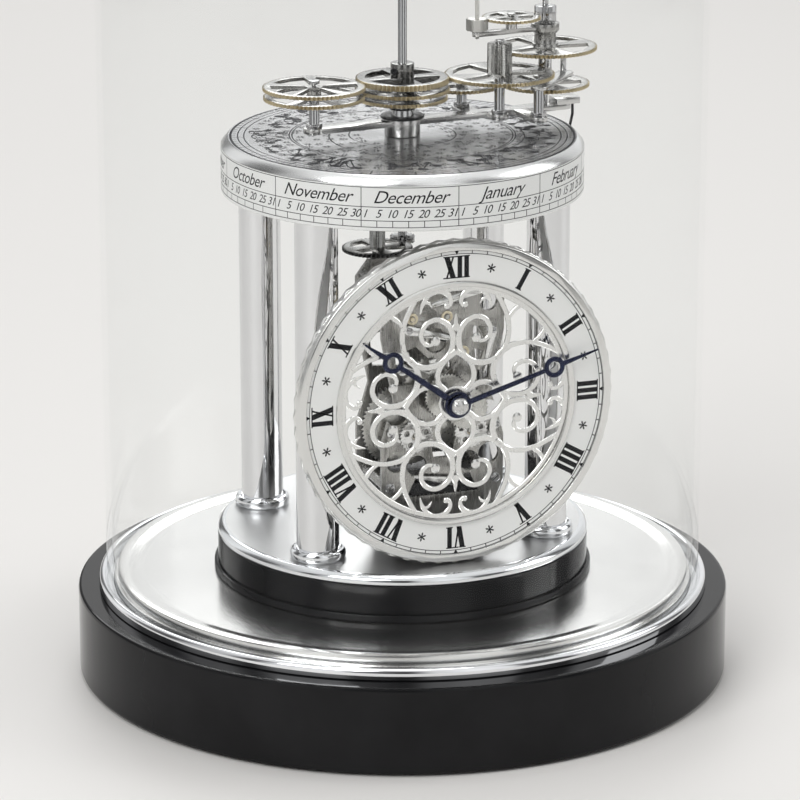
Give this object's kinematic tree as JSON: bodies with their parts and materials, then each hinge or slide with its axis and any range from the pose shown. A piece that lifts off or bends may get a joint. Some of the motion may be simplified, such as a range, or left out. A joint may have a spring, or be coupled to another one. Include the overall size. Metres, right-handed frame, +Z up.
{
  "type": "desk clock with calendar",
  "caption": "Skeleton table clock on a round base under a glass dome, with an open round dial, a calendar drum on columns and a geared sun, earth and moon model.",
  "frame": {"origin": "centre of the underside of the base, on the axis of the dome and the centre shaft", "axes": "+Z up along the centre shaft; the dial faces -Y; +X to the right of someone reading the dial"},
  "size_m": [0.28, 0.28, 0.4201],
  "materials": {
    "felt": "matt black felt",
    "black_gloss": "gloss black lacquer",
    "glass": "clear polished",
    "chrome": "mirror polished",
    "calendar_white": "satin silvered white with black print",
    "dial_white": "satin white enamel paint",
    "silver": "fine brushed silver",
    "engraved_steel": "satin grey",
    "blued_steel": "dark blued",
    "black_steel": "satin black",
    "nickel": "nickel silver, satin",
    "brass": "satin brass",
    "wheel_silver": "silver plated brass, satin",
    "steel": "polished steel",
    "gilt": "polished gilt",
    "globe_blue": "satin printed"
  },
  "bodies": {
    "clock": {"base_felt": "felt", "base_disc": "black_gloss", "dome_ring": "chrome", "tray_disc": "chrome", "pedestal_plinth": "black_gloss", "pedestal_drum": "black_gloss", "pedestal_plate": "chrome", "columns": "chrome", "column_feet": "chrome", "drum_floor": "engraved_steel", "calendar_band": "calendar_white", "drum_bevel": "chrome", "star_disc": "engraved_steel", "dial_bezel": "silver", "chapter_ring": "dial_white", "inner_ring": "silver", "dial_fretwork": "silver", "movement_seat": "black_steel", "front_plate": "nickel", "back_plate": "nickel", "plate_pillars": "nickel", "dial_posts": "nickel", "drive_bracket": "black_steel", "centre_tube": "wheel_silver", "fixed_wheel": "wheel_silver", "hub_clip": "black_steel"},
    "dome": {"glass_dome": "glass"},
    "minute_group": {"minute_hand": "blued_steel", "hand_nut": "chrome", "minute_arbor": "brass", "centre_wheel": "brass"},
    "hour_group": {"hour_hand": "blued_steel", "hour_wheel": "brass"},
    "minute_wheel": {"minute_wheel": "brass"},
    "third_wheel": {"third_wheel": "brass"},
    "escape_wheel": {"escape_wheel": "brass"},
    "going_barrel": {"going_barrel": "brass"},
    "strike_barrel": {"strike_barrel": "brass"},
    "balance_wheel": {"balance_wheel": "nickel"},
    "year_arm": {"year_arm": "steel", "arm_posts": "steel", "date_pointer": "black_steel", "earth_bridge": "steel", "earth_tube": "steel"},
    "centre_shaft": {"centre_shaft": "steel", "top_wheel": "wheel_silver", "sun_ball": "gilt"},
    "second_wheel": {"second_wheel": "wheel_silver"},
    "transfer_wheel": {"transfer_wheel": "brass"},
    "left_wheel_pair": {"left_wheel_pair": "wheel_silver"},
    "idler_wheel": {"idler_wheel": "wheel_silver"},
    "earth_shaft": {"earth_wheel": "wheel_silver", "earth_shaft": "steel"},
    "earth_globe": {"earth_globe": "globe_blue"},
    "moon_drive_wheel": {"moon_drive_wheel": "wheel_silver"},
    "moon_carrier": {"moon_wheel": "wheel_silver", "moon_bracket": "steel"},
    "sky_idler_wheel": {"sky_idler_wheel": "wheel_silver"},
    "moon": {"moon_and_rod": "steel"}
  },
  "joints": [
    {"name": "dome_lift", "type": "slide", "parent": "clock", "child": "dome", "axis": [0, 0, 1], "range_m": [0, 0.32]},
    {"name": "minute_hand_turn", "type": "hinge", "parent": "clock", "child": "minute_group", "pos_m": [0, 0, 0.1347], "axis": [0, -1, 0], "continuous": true},
    {"name": "hour_turn", "type": "hinge", "parent": "clock", "child": "hour_group", "pos_m": [0, 0, 0.1347], "axis": [0, -1, 0], "continuous": true},
    {"name": "minute_wheel_turn", "type": "hinge", "parent": "clock", "child": "minute_wheel", "pos_m": [0.00988, 0, 0.12778], "axis": [0, -1, 0], "continuous": true},
    {"name": "third_wheel_turn", "type": "hinge", "parent": "clock", "child": "third_wheel", "pos_m": [0.00907, 0, 0.15175], "axis": [0, -1, 0], "continuous": true},
    {"name": "escape_wheel_turn", "type": "hinge", "parent": "clock", "child": "escape_wheel", "pos_m": [0.00172, 0, 0.16751], "axis": [0, -1, 0], "continuous": true},
    {"name": "going_barrel_turn", "type": "hinge", "parent": "clock", "child": "going_barrel", "pos_m": [-0.01208, 0, 0.11745], "axis": [0, -1, 0], "continuous": true},
    {"name": "strike_barrel_turn", "type": "hinge", "parent": "clock", "child": "strike_barrel", "pos_m": [0.01208, 0, 0.11745], "axis": [0, -1, 0], "continuous": true},
    {"name": "balance_swing", "type": "hinge", "parent": "clock", "child": "balance_wheel", "pos_m": [-0.0135, 0, 0.1677], "axis": [0, -1, 0], "range_deg": [-220, 220]},
    {"name": "year_arm_turn", "type": "hinge", "parent": "clock", "child": "year_arm", "pos_m": [0, 0, 0], "axis": [0, 0, 1], "continuous": true},
    {"name": "centre_shaft_turn", "type": "hinge", "parent": "clock", "child": "centre_shaft", "pos_m": [0, 0, 0], "axis": [0, 0, 1], "continuous": true},
    {"name": "second_wheel_turn", "type": "hinge", "parent": "clock", "child": "second_wheel", "pos_m": [0, 0, 0], "axis": [0, 0, 1], "continuous": true},
    {"name": "transfer_wheel_turn", "type": "hinge", "parent": "clock", "child": "transfer_wheel", "pos_m": [-0.01528, -0.01172, 0], "axis": [0, 0, 1], "continuous": true},
    {"name": "left_pair_turn", "type": "hinge", "parent": "year_arm", "child": "left_wheel_pair", "pos_m": [-0.04011, -0.00351, 0], "axis": [0, 0, 1], "continuous": true},
    {"name": "idler_turn", "type": "hinge", "parent": "year_arm", "child": "idler_wheel", "pos_m": [0.03205, 0.01517, 0], "axis": [0, 0, 1], "continuous": true},
    {"name": "earth_turn", "type": "hinge", "parent": "year_arm", "child": "earth_shaft", "pos_m": [0.06625, 0.0058, 0], "axis": [0, 0, 1], "continuous": true},
    {"name": "globe_turn", "type": "hinge", "parent": "earth_shaft", "child": "earth_globe", "pos_m": [0.06625, 0.0058, 0.3228], "axis": [0.3956, 0.0346, 0.9178], "continuous": true},
    {"name": "moon_drive_turn", "type": "hinge", "parent": "year_arm", "child": "moon_drive_wheel", "pos_m": [0.04183, -0.0044, 0], "axis": [0, 0, 1], "continuous": true},
    {"name": "moon_carrier_turn", "type": "hinge", "parent": "year_arm", "child": "moon_carrier", "pos_m": [0.06625, 0.0058, 0], "axis": [0, 0, 1], "continuous": true},
    {"name": "sky_idler_turn", "type": "hinge", "parent": "moon_carrier", "child": "sky_idler_wheel", "pos_m": [0.05011, 0.00381, 0], "axis": [0, 0, 1], "continuous": true},
    {"name": "moon_turn", "type": "hinge", "parent": "moon_carrier", "child": "moon", "pos_m": [0.03397, 0.00183, 0], "axis": [0, 0, 1], "continuous": true}
  ],
  "couplings": [
    {"joint": "year_arm_turn", "follows": "centre_shaft_turn", "ratio": 0.014925},
    {"joint": "second_wheel_turn", "follows": "centre_shaft_turn", "ratio": 0.97099},
    {"joint": "transfer_wheel_turn", "follows": "centre_shaft_turn", "ratio": -0.33333},
    {"joint": "left_pair_turn", "follows": "centre_shaft_turn", "ratio": -0.90064},
    {"joint": "idler_turn", "follows": "centre_shaft_turn", "ratio": 0.016525},
    {"joint": "earth_turn", "follows": "centre_shaft_turn", "ratio": -0.014925},
    {"joint": "moon_drive_turn", "follows": "centre_shaft_turn", "ratio": -0.82954},
    {"joint": "moon_carrier_turn", "follows": "centre_shaft_turn", "ratio": 0.18434},
    {"joint": "sky_idler_turn", "follows": "centre_shaft_turn", "ratio": 0.06452},
    {"joint": "moon_turn", "follows": "centre_shaft_turn", "ratio": -0.18434},
    {"joint": "hour_turn", "follows": "minute_hand_turn", "ratio": 0.083333},
    {"joint": "minute_wheel_turn", "follows": "minute_hand_turn", "ratio": -0.33333},
    {"joint": "third_wheel_turn", "follows": "minute_hand_turn", "ratio": -6},
    {"joint": "escape_wheel_turn", "follows": "minute_hand_turn", "ratio": 36},
    {"joint": "going_barrel_turn", "follows": "minute_hand_turn", "ratio": -0.16667}
  ]
}
